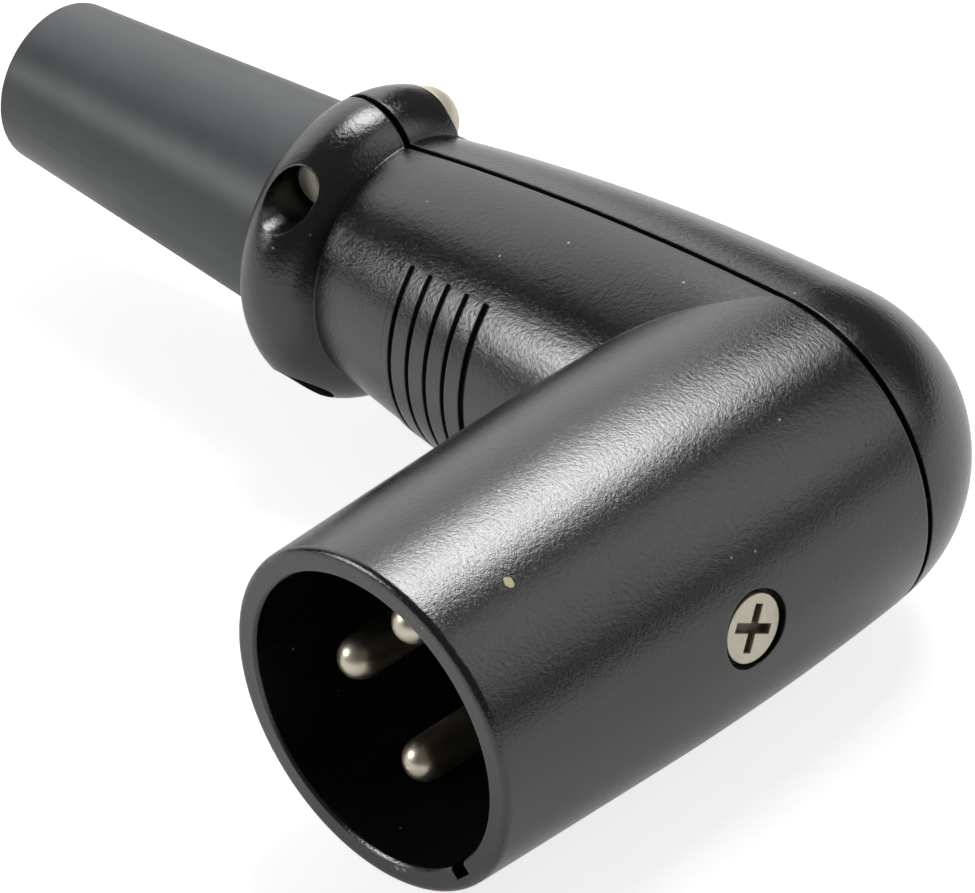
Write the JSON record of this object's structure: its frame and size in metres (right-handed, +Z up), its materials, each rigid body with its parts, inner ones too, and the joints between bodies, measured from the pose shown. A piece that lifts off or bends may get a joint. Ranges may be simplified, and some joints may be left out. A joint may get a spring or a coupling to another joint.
{
  "type": "xlr plug",
  "caption": "Right-angle cable plug lying flat: black painted die-cast barrel, elbow and neck with a clamping collar, and a tapered dark grey rubber boot.",
  "frame": {"origin": "centre of the open mouth, on the barrel's axis", "axes": "+X away from the boot, in line with it; +Y from the mouth towards the elbow; +Z up, square to the barrel and the neck"},
  "size_m": [0.0653, 0.0394, 0.0198],
  "materials": {
    "casting": "black semi-gloss paint on a zinc die casting",
    "boot_rubber": "matte moulded rubber",
    "carrier_plastic": "black moulded plastic",
    "contact_metal": "bright nickel plate on turned brass",
    "screw_metal": "bright plated steel",
    "tag_metal": "tinned brass sheet"
  },
  "bodies": {
    "root": {"housing": "casting", "cover": "casting", "boot": "boot_rubber", "contact_carrier": "carrier_plastic", "contact_pin_1": "contact_metal", "contact_pin_2": "contact_metal", "contact_pin_3": "contact_metal", "carrier_screw": "screw_metal", "square_nut": "screw_metal", "ground_tag": "tag_metal", "clamp_screws": "screw_metal"}
  },
  "joints": []
}
